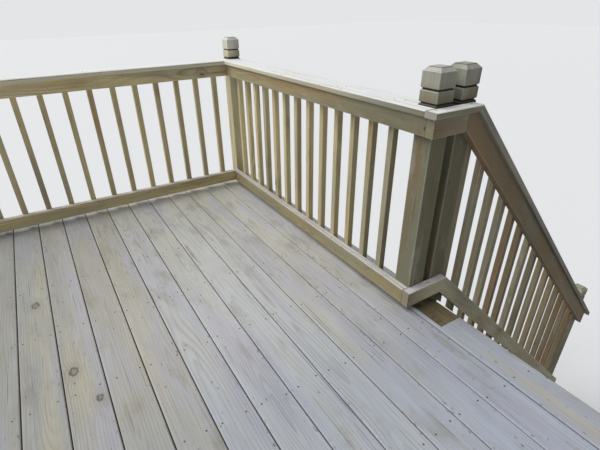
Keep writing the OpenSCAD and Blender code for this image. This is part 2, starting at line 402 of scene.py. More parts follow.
# Metres off the middle of the flight, and out from it, between which painted shade fades in: darker and bluer in front
# of the flight and along the house
FLIGHT_SHADE = (0.85, 0.25)
HOUSE_SHADE = (-1.35, -1.65)
PAINTED_SHADE_COLOUR = tint(200, 208, 221)

# Surface of the wood and of the steel
WOOD_SHEEN = 0.3
WOOD_ROUGH_SPREAD = 0.08
RELIEF_STRENGTH = 0.35
RELIEF_DEPTH = 0.0012
RINGS_RELIEF = 2
FIBRES_RELIEF = 0.6
SPOTS_PER_M = 140.0
SPOTS_FADE = (0.35, 0.7)
SPOTS_ROUGH = (0.3, 0.7)
STEEL_SMOOTHER = 0.1
STEEL_ROUGHER = 0.15
STEEL_SHARE = 0.6


def wood(name, *, pale, deep, turned_and_lit, warm, cool, ring, knot, top, weather_and_sheen_share=0.6, ring_share=0.3, tint_share=0.5,
         blotch_share=0.25, head_share=0.0, groove_dirt_and_shade_share=0.0, painted_shade_share=0.0, rough=0.8,
         rings_per_m=125.0, wander=0.100):
    """Sawn softwood with growth rings, fibres, knots, cracks, coloured patches and an upper side made paler, partly by
    weather and partly as painted sky sheen.

    A board's tone takes it from pale to deep, and its turned share takes it on from there to turned; both also carry
    painted light and shade set board by board.
    """
    material, g, shader = new_material(name)

    # Metres along, across and through the board: in its log, from its own middle, and half its size
    grain = g.attribute("grain")
    place = g.attribute("place")
    extent = g.attribute("extent")
    tone, patchy, turned_and_lit_share = g.split(g.attribute("look"))
    to_end, to_side, to_flat = g.split(g.vector("SUBTRACT", extent, g.vector("ABSOLUTE", place)))
    to_arris = g.math("MAXIMUM", to_side, to_flat)
    to_skin = g.math("MINIMUM", to_side, to_flat)
    from_top = g.math("SUBTRACT", g.split(extent)[0], g.split(place)[0])
    upward = g.split(g.node("ShaderNodeTexCoord").outputs["Normal"])[2]

    # Knots: round spots in a few of the cells
    cells = g.node("ShaderNodeTexVoronoi", feature="F1", voronoi_dimensions="3D")
    g.put(cells.inputs["Vector"], g.vector("MULTIPLY", grain, KNOT_CELL_SHAPE))
    cells.inputs["Scale"].default_value = KNOT_CELLS_PER_M
    chance, size, _ = g.split(cells.outputs["Color"])
    has_knot = g.math("GREATER_THAN", chance, KNOT_CHANCE)
    ragged = g.math("MULTIPLY_ADD", g.pattern(grain, KNOT_EDGE_PER_M), KNOT_EDGE, -KNOT_EDGE / 2)
    knot_size = g.math("MULTIPLY_ADD", size, KNOT_SIZE_MORE, KNOT_SIZE)
    from_knot = g.math("ADD", g.math("SUBTRACT", cells.outputs["Distance"], knot_size), ragged)
    knot_core = g.math("MULTIPLY", g.step(from_knot, *KNOT_CORE_FADE), has_knot)
    knot_core = g.math("MULTIPLY", knot_core, g.step(from_knot, *KNOT_HEART_FADE, KNOT_HEART_SHARE, 1.0))
    knot_near = g.math("MULTIPLY", g.step(from_knot, KNOT_REACH, 0.0), has_knot)

    # Growth rings round a pith that wanders along the board
    _, wide, thin = g.split(grain)
    bends = g.vector("MULTIPLY", grain, RING_BENDS_PER_M)
    wide = g.math("ADD", wide, g.math("MULTIPLY_ADD", g.noise(bends, 1.0, 1.0), RING_SWAY, -RING_SWAY / 2))
    thin = g.math("ADD", thin, g.math("MULTIPLY_ADD", g.noise(bends, 2.0, 1.0), wander, -wander / 2))
    radius = g.math("SQRT", g.math("ADD", g.math("MULTIPLY", wide, wide), g.math("MULTIPLY", thin, thin)))
    radius = g.math("MULTIPLY_ADD", knot_near, KNOT_BULGE, radius)
    late = g.math("FRACT", g.math("MULTIPLY", radius, rings_per_m))
    ring_line = g.math("MULTIPLY", g.step(late, *LATE_WOOD_RISE), g.step(late, *LATE_WOOD_FALL))

    fibres = g.pattern(grain, FIBRES_PER_M, 3.0, 0.6)
    streaks = g.pattern(grain, STREAKS_PER_M, 3.0, 0.55)
    patches = g.pattern(grain, PATCHES_PER_M, 4.0, 0.65)
    clouds = g.pattern(grain, CLOUDS_PER_M, start=CLOUDS_START)
    specks = g.pattern(grain, SPECKS_PER_M)
    cracks = g.pattern(grain, CRACKS_PER_M, 1.0, 0.4)

    # The board's colour from its tone and turn, which also carry painted light and shade, with warm streaks and cool
    # clouds
    # On a post the turned colour, which also paints the light on the far corner post, keeps to its upper part
    if head_share:
        turned_and_lit_share = g.math("MULTIPLY", turned_and_lit_share, g.step(from_top, *PALE_FADE))
    colour = g.blend(tone, pale, deep)
    colour = g.blend(turned_and_lit_share, colour, turned_and_lit)
    warm_share = g.math("MULTIPLY_ADD", patchy, tint_share, WARM_LEAST)
    warm_share = g.math("MULTIPLY", g.step(streaks, *STREAKS_FADE), warm_share)
    colour = g.blend(warm_share, colour, warm)
    cool_share = g.math("MULTIPLY", g.step(clouds, *CLOUDS_FADE), tint_share)
    colour = g.blend(cool_share, colour, cool)

    # Upper side paler, partly from weather and partly as painted sky sheen; post heads paler, partly weathered and
    # partly painted light; less of both on a post of deep tone, as painted shade
    weather_and_sheen = g.step(upward, *WEATHER_AND_SHEEN_UP, 0.0, weather_and_sheen_share)
    if head_share:
        weather_and_sheen = g.math(
            "MULTIPLY", weather_and_sheen, g.math("MULTIPLY_ADD", g.math("MULTIPLY", tone, tone), -TOP_SHADE, 1.0))
        head = g.step(from_top, *HEAD_FADE, 0.0, head_share)
        head = g.math("MULTIPLY", head, g.math("MULTIPLY_ADD", tone, -HEAD_SHADE, 1.0))
        weather_and_sheen = g.math("MAXIMUM", weather_and_sheen, head)
    colour = g.blend(weather_and_sheen, colour, top)
    colour = g.blend(g.step(patches, *DARK_PATCHES_FADE, 0.0, blotch_share), colour, ring)
    colour = g.blend(g.step(patches, *PALE_PATCHES_FADE, 0.0, blotch_share), colour, top)

    # Rings that fade in and out, fibres, crumbs, knots and cracks
    ring_fade = g.pattern(grain, RING_FADES_PER_M, start=RING_FADES_START)
    ring_fade = g.step(ring_fade, *RINGS_FADE, RINGS_FAINT * ring_share, RINGS_STRONG * ring_share)
    colour = g.blend(g.math("MULTIPLY", ring_line, ring_fade), colour, ring)
    colour = g.blend(1.0, colour, g.grey(g.step(fibres, *FIBRES_FADE, FIBRES_DARK, FIBRES_PALE)), "MULTIPLY")
    side_crumbs = g.math("MULTIPLY", g.step(to_side, *SIDE_CRUMBS, 0.0, CRUMBS_MORE), g.step(upward, *CRUMBS_UP))
    crumbs = g.math("ADD", specks, side_crumbs)
    colour = g.blend(g.step(crumbs, *CRUMBS_FADE, 0.0, CRUMBS_SHARE), colour, knot)
    colour = g.blend(g.math("MULTIPLY", knot_near, KNOT_NEAR_SHARE), colour, ring)
    colour = g.blend(g.math("MULTIPLY", knot_core, KNOT_SHARE), colour, knot)
    colour = g.blend(g.step(cracks, *CRACKS_FADE, 0.0, CRACKS_SHARE), colour, knot)

    # Painted shade, darker and bluer, in front of the flight and along the house
    if painted_shade_share:
        across, out, _ = g.split(g.node("ShaderNodeTexCoord").outputs["Object"])
        painted_shade = g.math("MAXIMUM", g.step(g.math("ABSOLUTE", across), *FLIGHT_SHADE), g.step(out, *HOUSE_SHADE))
        colour = g.blend(g.math("MULTIPLY", painted_shade, painted_shade_share), colour, PAINTED_SHADE_COLOUR, "MULTIPLY")

    # Pale worn arrises, greyer sawn ends, dark joints beside them, and dirt with painted shade in and below the
    # grooves
    colour = g.blend(g.step(to_arris, *ARRIS_WEAR, 0.0, ARRIS_SHARE), colour, top)
    colour = g.blend(g.step(to_end, *END_GREY, 0.0, END_SHARE), colour, cool)
    joint = g.math("MULTIPLY", g.step(to_end, *JOINT_FAR), g.step(to_end, *JOINT_NEAR))
    colour = g.blend(g.math("MULTIPLY", joint, JOINT_SHARE), colour, knot)
    if groove_dirt_and_shade_share:
        groove_dirt_and_shade = g.math("MULTIPLY", g.step(to_skin, *GROOVE_DIRT_AND_SHADE), g.step(from_top, *CHAMFER_FADE))
        rim = g.math("MULTIPLY", g.step(from_top, *RIM_START), g.step(from_top, *RIM_END))
        groove_dirt_and_shade = g.math("MAXIMUM", groove_dirt_and_shade, rim)
        colour = g.blend(g.math("MULTIPLY", groove_dirt_and_shade, groove_dirt_and_shade_share), colour, GROOVE_DIRT_AND_SHADE_COLOUR)
    g.put(shader.inputs["Base Color"], colour)

    roughness = g.step(fibres, *FIBRES_ROUGH, rough - WOOD_ROUGH_SPREAD, rough + WOOD_ROUGH_SPREAD)
    g.put(shader.inputs["Roughness"], roughness)
    shader.inputs["Specular IOR Level"].default_value = WOOD_SHEEN
    relief = g.math("MULTIPLY_ADD", ring_line, RINGS_RELIEF * ring_share, g.math("MULTIPLY", fibres, FIBRES_RELIEF))
    relief = g.math("SUBTRACT", relief, g.math("MAXIMUM", knot_core, g.step(cracks, *CRACKS_FADE)))
    bump = g.node("ShaderNodeBump")
    bump.inputs["Strength"].default_value = RELIEF_STRENGTH
    bump.inputs["Distance"].default_value = RELIEF_DEPTH
    g.put(bump.inputs["Height"], relief)
    g.put(shader.inputs["Normal"], bump.outputs[0])
    return material


def steel(name, colour, spot, rough):
    """Galvanised steel with dull spots."""
    material, g, shader = new_material(name)
    spots = g.noise(g.node("ShaderNodeTexCoord").outputs["Object"], SPOTS_PER_M, 3.0, 0.6)
    g.put(shader.inputs["Base Color"], g.blend(g.step(spots, *SPOTS_FADE), colour, spot))
    g.put(shader.inputs["Roughness"], g.step(spots, *SPOTS_ROUGH, rough - STEEL_SMOOTHER, rough + STEEL_ROUGHER))
    shader.inputs["Metallic"].default_value = STEEL_SHARE
    return material


MATERIALS = {
    "decking": wood(
        "weathered_decking", pale=tint(200, 199, 191), deep=tint(162, 159, 150), turned_and_lit=tint(184, 192, 208),
        warm=tint(196, 186, 158), cool=tint(174, 173, 188), ring=tint(140, 134, 118), knot=tint(84, 75, 67),
        top=tint(192, 192, 188), weather_and_sheen_share=0.15, ring_share=0.20, tint_share=0.60, blotch_share=0.46,
        painted_shade_share=0.40, rings_per_m=90.0, wander=0.170),
    "cap_boards": wood(
        "weathered_cap_boards", pale=tint(236, 231, 206), deep=tint(116, 114, 100), turned_and_lit=tint(160, 144, 120),
        warm=tint(206, 192, 154), cool=tint(196, 194, 192), ring=tint(162, 150, 124), knot=tint(92, 80, 64),
        top=tint(240, 242, 242), weather_and_sheen_share=0.9, ring_share=0.18, tint_share=0.35, blotch_share=0.15),
    "rails": wood(
        "tan_rails", pale=tint(188, 174, 130), deep=tint(116, 112, 88), turned_and_lit=tint(244, 228, 178),
        warm=tint(180, 146, 102), cool=tint(150, 152, 132), ring=tint(118, 98, 72), knot=tint(78, 60, 44),
        top=tint(208, 207, 206), weather_and_sheen_share=0.8, ring_share=0.26, tint_share=0.5, blotch_share=0.2),
    "shaded_rails": wood(
        "grey_brown_rails", pale=tint(216, 213, 186), deep=tint(138, 124, 98), turned_and_lit=tint(140, 108, 56),
        warm=tint(160, 124, 86), cool=tint(140, 143, 122), ring=tint(112, 92, 66), knot=tint(72, 56, 42),
        top=tint(208, 205, 212), weather_and_sheen_share=0.8, ring_share=0.24, tint_share=0.5, blotch_share=0.2),
    "posts": wood(
        "greenish_posts", pale=tint(134, 129, 102), deep=tint(118, 114, 92), turned_and_lit=tint(228, 216, 172),
        warm=tint(134, 106, 76), cool=tint(124, 130, 110), ring=tint(96, 86, 64), knot=tint(58, 48, 34),
        top=tint(226, 229, 224), weather_and_sheen_share=0.8, ring_share=0.09, tint_share=0.55, blotch_share=0.2,
        head_share=0.55, groove_dirt_and_shade_share=0.92),
    "framing": wood(
        "brown_framing", pale=tint(134, 123, 94), deep=tint(112, 102, 76), turned_and_lit=tint(142, 124, 92),
        warm=tint(136, 108, 74), cool=tint(112, 110, 92), ring=tint(88, 72, 50), knot=tint(58, 45, 30),
        top=tint(108, 98, 74), weather_and_sheen_share=0.5, ring_share=0.30, tint_share=0.45),
}
# Dark dirt and painted shade, for the sheet in the gaps between the deck boards
DIRT_AND_SHADE = wood(
    "dark_dirt_and_shade", pale=tint(84, 66, 52), deep=tint(60, 48, 38), turned_and_lit=tint(60, 50, 40), warm=tint(96, 68, 48),
    cool=tint(70, 66, 60), ring=tint(48, 38, 30), knot=tint(34, 28, 22), top=tint(84, 72, 58), weather_and_sheen_share=0.2,
    blotch_share=0.5, rough=0.92)
NAIL_STEEL = steel("dull_nail_steel", tint(104, 99, 92), tint(70, 62, 54), 0.6)
PLATE_STEEL = steel("galvanised_steel", tint(156, 157, 156), tint(122, 121, 118), 0.5)


class Bench:
    """The boards of one piece, cut one after another for the left-hand side or the right-hand one."""

    def __init__(self, side="left"):
        self.bm = bmesh.new()
        # Which boards are done, and what the wood reads of each board
        self.finished = self.bm.verts.layers.int.new("finished")
        self.grain = self.bm.verts.layers.float_vector.new("grain")
        self.place = self.bm.verts.layers.float_vector.new("place")
        self.extent = self.bm.verts.layers.float_vector.new("extent")
        self.look = self.bm.verts.layers.float_vector.new("look")
        self.turn = Matrix.Scale(-1, 4, X_AXIS) if side == "right" else Matrix.Identity(4)

    def fresh(self):
        """Corners of the board that is being made."""
        return [v for v in self.bm.verts if not v[self.finished]]

    def fresh_parts(self):
        """Corners, edges and faces of the board that is being made."""
        verts = self.fresh()
        edges = list({e for v in verts for e in v.link_edges})
        faces = list({f for v in verts for f in v.link_faces})
        return verts, edges, faces

    def extrude(self, outline, axis, low, high, holes=()):
        """Draws an outline across one axis and pushes it from low to high along that axis."""
        loops = [outline, *holes]
        edges = []
        for loop in loops:
            corners = []
            for a, b in loop:
                place = [a, b]
                place.insert(axis, low)
                corners.append(self.bm.verts.new(place))
            edges += [self.bm.edges.new((corners[i - 1], corners[i])) for i in range(len(corners))]
        if holes:
            faces = bmesh.ops.triangle_fill(self.bm, use_beauty=True, use_dissolve=False, edges=edges)["geom"]
            faces = [f for f in faces if isinstance(f, bmesh.types.BMFace)]
        else:
            faces = bmesh.ops.contextual_create(self.bm, geom=edges)["faces"]
        pushed = bmesh.ops.extrude_face_region(self.bm, geom=faces, use_keep_orig=True)["geom"]
        way = Vector((0, 0, 0))
        way[axis] = high - low
        bmesh.ops.translate(self.bm, vec=way, verts=[v for v in pushed if isinstance(v, bmesh.types.BMVert)])

    def cut(self, point, normal, keep_both=False):
        """Saws the fresh board by a plane and drops what lies on the normal's side."""
        verts, edges, faces = self.fresh_parts()
        made = bmesh.ops.bisect_plane(
            self.bm, geom=verts + edges + faces, dist=SAW_NEAR, plane_co=point, plane_no=normal,
            clear_outer=not keep_both)
        if not keep_both:
            rim = [e for e in made["geom_cut"] if isinstance(e, bmesh.types.BMEdge)]
            bmesh.ops.contextual_create(self.bm, geom=rim)

    def round_edges(self, edges, radius):
        """Rounds some edges of the fresh board."""
        bmesh.ops.bevel(
            self.bm, geom=edges, offset=radius, affect="EDGES", segments=EASE_FACES, profile=0.5,
            clamp_overlap=True, material=-1)

    def finish(self, along, ease, turned_and_lit=0.0, tone=None):
        """Rounds the long edges, turns the board to its side and writes how its grain runs."""
        verts, edges, _ = self.fresh_parts()
        if ease:
            side_way = Y_AXIS if abs(along.x) > MOSTLY else X_AXIS
            ways = (side_way, along.cross(side_way).normalized())
            limits = [(min(v.co.dot(w) for v in verts), max(v.co.dot(w) for v in verts)) for w in ways]
            long_edges = []
            for e in edges:
                way = e.verts[1].co - e.verts[0].co
                flat = len(e.link_faces) == 2 and e.calc_face_angle(0) < FLAT_ANGLE
                middle = (e.verts[0].co + e.verts[1].co) / 2
                # Edges of cut-outs stay sharp: only the outer arrises are rounded
                outer = all(
                    min(middle.dot(w) - low, high - middle.dot(w)) < FACE_NEAR for w, (low, high) in zip(ways, limits))
                lengthwise = way.length > POINT_NEAR and abs(way.normalized().dot(along)) > SAME_WAY
                if lengthwise and outer and not flat:
                    long_edges.append(e)
            self.round_edges(long_edges, ease)
            verts = self.fresh()
        bmesh.ops.transform(self.bm, matrix=self.turn, verts=verts)
        along = self.turn.to_3x3() @ along
        side_way = Y_AXIS if abs(along.x) > MOSTLY else X_AXIS
        thick_way = along.cross(side_way).normalized()
        places = [Vector((v.co.dot(along), v.co.dot(side_way), v.co.dot(thick_way))) for v in verts]
        low = Vector([min(p[i] for p in places) for i in range(3)])
        high = Vector([max(p[i] for p in places) for i in range(3)])
        middle = (low + high) / 2
        half = (high - low) / 2
        # The wider of the two cross directions is the board's width
        wide, thin = (1, 2) if half[1] >= half[2] else (2, 1)
        start = Vector((
            rng.uniform(0, LOG_L), rng.uniform(-LOG_ASIDE, LOG_ASIDE), rng.choice((-1, 1)) * rng.uniform(*PITH_OFF)))
        drawn_tone, patchy = rng.random(), rng.random()
        tones = both_ends(drawn_tone if tone is None else tone)
        turns = both_ends(turned_and_lit)
        for v, place in zip(verts, places):
            own = place - middle
            share = (own[0] + half[0]) / (2 * half[0])
            v[self.place] = Vector((own[0], own[wide], own[thin]))
            v[self.extent] = Vector((half[0], half[wide], half[thin]))
            v[self.grain] = v[self.place] + start
            v[self.look] = Vector((
                tones[0] + (tones[1] - tones[0]) * share, patchy, turns[0] + (turns[1] - turns[0]) * share))
            v[self.finished] = 1

    def plank(self, low, high, along=X_AXIS, ease=PLANK_EASE, turned_and_lit=0.0, tone=None):
        """A straight board between two corners."""
        self.extrude(rectangle(low[0], low[1], high[0], high[1]), 2, low[2], high[2])
        self.finish(along, ease, turned_and_lit, tone)

    def post(self, low, high, decorated=True, turned_and_lit=0.0, tone=None):
        """A square post with two V-grooves and a chamfered top."""
        middle = (low + high) / 2
        half = (high.x - low.x) / 2
        self.extrude(rectangle(low.x, low.y, high.x, high.y), 2, low.z, high.z)
        upright = [e for e in self.fresh_parts()[1] if abs((e.verts[1].co - e.verts[0].co).normalized().z) > MOSTLY]
        self.round_edges(upright, POST_EASE)
        if decorated:
            narrow = {high.z: (half - POST_CHAMFER) / half}
            for depth in (GROOVE_LOW, GROOVE_HIGH):
                centre = high.z - depth
                narrow[centre] = (half - GROOVE_D) / half
                for height in (centre - GROOVE_W / 2, centre, centre + GROOVE_W / 2):
                    self.cut((0, 0, height), Z_AXIS, keep_both=True)
            self.cut((0, 0, high.z - POST_CHAMFER), Z_AXIS, keep_both=True)
            for height, share in narrow.items():
                ring = [v for v in self.fresh() if abs(v.co.z - height) < POINT_NEAR]
                centre = Matrix.Translation((middle.x, middle.y, 0))
                bmesh.ops.scale(self.bm, vec=(share, share, 1), space=centre.inverted(), verts=ring)
        self.finish(Z_AXIS, 0, turned_and_lit, tone)

    def piece(self, name, slot, *nodes, material=None):
        """Turns the boards into one named object that rides on the body and stands for its nodes."""
        bmesh.ops.recalc_face_normals(self.bm, faces=self.bm.faces)
        self.bm.verts.layers.int.remove(self.finished)
        made = mesh_object(name, self.bm, material or MATERIALS[slot])
        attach(made, "root")
        if nodes:
            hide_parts(*nodes)


def single_board(name, node, along, ease=PLANK_EASE):
    """A frame member that is one straight board as large as its node."""
    bench = Bench()
    bench.plank(*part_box(node), along, ease)
    bench.piece(name, "framing", node)


def heads(name, material, spots, rings):
    """Heads of fixings: each spot is a place and the way it faces, each ring a radius, two heights and its sides."""
    bm = bmesh.new()
    for spot, way in spots:
        turn = Vector(way).to_track_quat("Z", "Y").to_matrix().to_4x4()
        for radius, low, high, sides in rings:
            centre = Vector(spot) + Vector(way) * (low + high) / 2
            bmesh.ops.create_cone(
                bm, cap_ends=True, cap_tris=False, segments=sides, radius1=radius, radius2=radius * HEAD_TAPER,
                depth=high - low, matrix=Matrix.Translation(centre) @ turn)
    made = mesh_object(name, bm, material)
    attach(made, "root")


# Decking, from the outer board to the house: how deep each board's tone is at its left end and at its right end; the
# outer boards' deep ends by the flight are partly painted shade
BOARD_TONES = (
    (-0.6, 3.4), (-0.5, 3.0), (-0.1, 1.6), (0.0, 0.8), (0.0, 0.6), (0.1, 0.5), (0.3, 0.6), (0.7, 0.7), (0.9, 0.6),
    (0.8, 0.8), (0.7, 0.9), (0.9, 0.7), (1.0, 0.8))
# How far the boards, and the front board as a whole, go blue-grey there: partly weathering and partly painted bluish
# shade
BOARD_TURNS = 3 * ((-1.1, 2.6),) + 4 * ((0.0, 1.2),) + 6 * ((-0.7, 1.2),)
FRONT_BOARD_TURN = 0.6
bench = Bench()
for i in range(BOARD_COUNT):
    outer = INNER_Y - i * (BOARD_W + BOARD_GAP)
    holes = []
    if i == BOARD_COUNT - 1:
        for x in (-END_X, CORNER_X):
            holes.append(rectangle(
                x - POST_FIT, HOUSE_POST_Y - POST_FIT, x + POST_W + POST_FIT, HOUSE_POST_Y + POST_W + POST_FIT))
    bench.extrude(rectangle(-EDGE_X, outer - BOARD_W, EDGE_X, outer), 2, FRAME_TOP, DECK_TOP, holes)
    bench.finish(X_AXIS, DECK_EASE, BOARD_TURNS[i], BOARD_TONES[i])
bench.piece("rounded_deck_boards", "decking", "deck_boards")

bench = Bench()
inner = DECK_EDGE_Y - BOARD_W
strip = inner + STRIP_W
gap_x = HEAD_X - POST_FIT
cut_x = HEAD_X - NOTCH_L
bench.extrude([
    (-gap_x, inner), (gap_x, inner), (gap_x, strip), (cut_x, strip), (cut_x, DECK_EDGE_Y),
    (-cut_x, DECK_EDGE_Y), (-cut_x, strip), (-gap_x, strip)], 2, FRAME_TOP, DECK_TOP)
bench.finish(X_AXIS, DECK_EASE, FRONT_BOARD_TURN)
far_x = HEAD_X + POST_W + POST_FIT
for way in (-1, 1):
    bench.extrude([
        (way * EDGE_X, inner), (way * (END_X + POST_FIT), inner), (way * (END_X + POST_FIT), POST_Y + POST_FIT),
        (way * (CORNER_X - POST_FIT), POST_Y + POST_FIT), (way * (CORNER_X - POST_FIT), inner),
        (way * far_x, inner), (way * far_x, DECK_EDGE_Y), (way * EDGE_X, DECK_EDGE_Y)], 2, FRAME_TOP, DECK_TOP)
    bench.finish(X_AXIS, DECK_EASE, FRONT_BOARD_TURN)
bench.piece("rounded_front_board", "decking", "front_board")

# Frame under the boards
for node in ("front_rim", "house_rim"):
    single_board("planed_" + node, node, X_AXIS)
for node in ("left_end_joist", "right_end_joist"):
    single_board("planed_" + node, node, Y_AXIS)

bench = Bench()
joist_low, joist_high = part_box("inner_joists")
for x in JOIST_XS:
    bench.plank(
        (x - PLANK_T / 2, joist_low.y, joist_low.z), (x + PLANK_T / 2, joist_high.y, joist_high.z), Y_AXIS)
bench.piece("planed_inner_joists", "framing", "inner_joists")

bench = Bench()
block_low, block_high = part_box("opening_blocks")
spans = [-HEAD_X]
for x in JOIST_XS:
    if abs(x) < HEAD_X:
        spans += [x - PLANK_T / 2, x + PLANK_T / 2]
spans.append(HEAD_X)
for x_low, x_high in zip(spans[::2], spans[1::2]):
    bench.plank((x_low, block_low.y, block_low.z), (x_high, block_high.y, block_high.z), X_AXIS)
bench.piece("planed_opening_blocks", "framing", "opening_blocks")

single_board("planed_stair_header", "stair_header", X_AXIS)
single_board("hanger_sheet", "stringer_hanger", X_AXIS, 0)

# Posts: how far they are turned pale, and how deep their tone is where it isn't left to chance; the pale corner post
# and the deep posts by the flight are painted light and shade
POST_TURNS = {"corner_post": 0.75, "foot_post": 0.1}
POST_TONES = {"corner_post": 0.0, "deck_post": 0.6, "head_post": 1.0, "foot_post": 1.0}
for side in ("left", "right"):
    for kind in ("corner_post", "deck_post", "head_post", "foot_post", "house_post", "back_leg"):
        node = side + "_" + kind
        bench = Bench()
        bench.post(*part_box(node), decorated=kind != "back_leg", turned_and_lit=POST_TURNS.get(kind, 0.0),
                   tone=POST_TONES.get(kind))
        bench.piece("grooved_" + node if kind != "back_leg" else "plain_" + node, "posts", node)

# Flight
head_tip = [(RISER_Y, STRINGER_LOW)]
teeth = [(RISER_Y + (k + end) * GOING, TOOTH_Z - (k + 1) * RISE) for k in range(RISERS - 1) for end in (0, 1)]
foot_tip = [(RISER_Y + (RISERS - 1) * GOING, 0.0), (RISER_Y + STRINGER_LOW / SLOPE, 0.0)]
for node in ("left_stringer", "middle_stringer", "right_stringer"):
    bench = Bench()
    x_low, x_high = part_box(node)[0].x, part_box(node)[1].x
    bench.extrude(head_tip + teeth + foot_tip, 0, x_low, x_high)
    bench.finish(DOWN_FLIGHT, PLANK_EASE)
    bench.piece("sawn_" + node, "framing", node)

bench = Bench()
for k in range(1, RISERS):
    back = RISER_Y + (k - 1) * GOING + TREAD_GAP
    top = DECK_TOP - k * RISE
    bench.plank((-HEAD_X, back, top - TREAD_T), (HEAD_X, back + TREAD_D, top), X_AXIS, DECK_EASE)
bench.piece("rounded_treads", "framing", "treads")

# Guard rails, stair rails and caps
bay_w = CORNER_X - HEAD_X - POST_W
side_bay = INNER_Y - HOUSE_POST_Y - POST_W
side_gap = (side_bay - SIDE_COUNT * BALUSTER_W) / (SIDE_COUNT + 1)
front_first = -CORNER_X + (bay_w - (FRONT_COUNT - 1) * FRONT_PITCH - BALUSTER_W) / 2
stair_first = HEAD_Y + STAIR_LEAD
stair_last = FOOT_Y - POST_W - FOOT_GAP - BALUSTER_W
stair_pitch = (stair_last - stair_first) / (STAIR_COUNT - 1)
cap_in_x = CORNER_X - PLANK_T - CAP_REACH
cap_in_y = INNER_Y - PLANK_T - CAP_REACH
inner_edge = PLANK_T + CAP_REACH

# Tones of the rails and caps, and how far rails and balusters are turned: for a whole board, or at its start and its
# end; the front rails are given by underside, tone and turn. Much of it is painted light and shade: paler towards the
# far corner, deeper on the upper rails and on the caps' sides by the flight, and paler on the bottom return rail as
# painted light bounced off the deck
FRONT_RAIL_LOOKS = ((BOTTOM_UNDER, 0.5, (0.2, 0.0)), (UPPER_UNDER, 1.0, (0.42, 0.0)))
FRONT_BALUSTER_TONES = (0.0, 0.4)
SIDE_RAIL_TURN = 0.8
SIDE_BALUSTER_TURN = 0.6
STAIR_UPPER_TONE = 1.0
STAIR_BOTTOM_TONE = 0.05
STAIR_BALUSTER_TONES = (0.5, 1.0)
STAIR_BALUSTER_TURN = 0.9
RETURN_UPPER_TONE = (1.0, 0.8)
RETURN_BOTTOM_TONE = (0.8, -0.6)
FRONT_CAP_TONE = (0.0, 1.0)
SIDE_CAP_TONE = 0.0
FLIGHT_CAP_TONE = 1.0

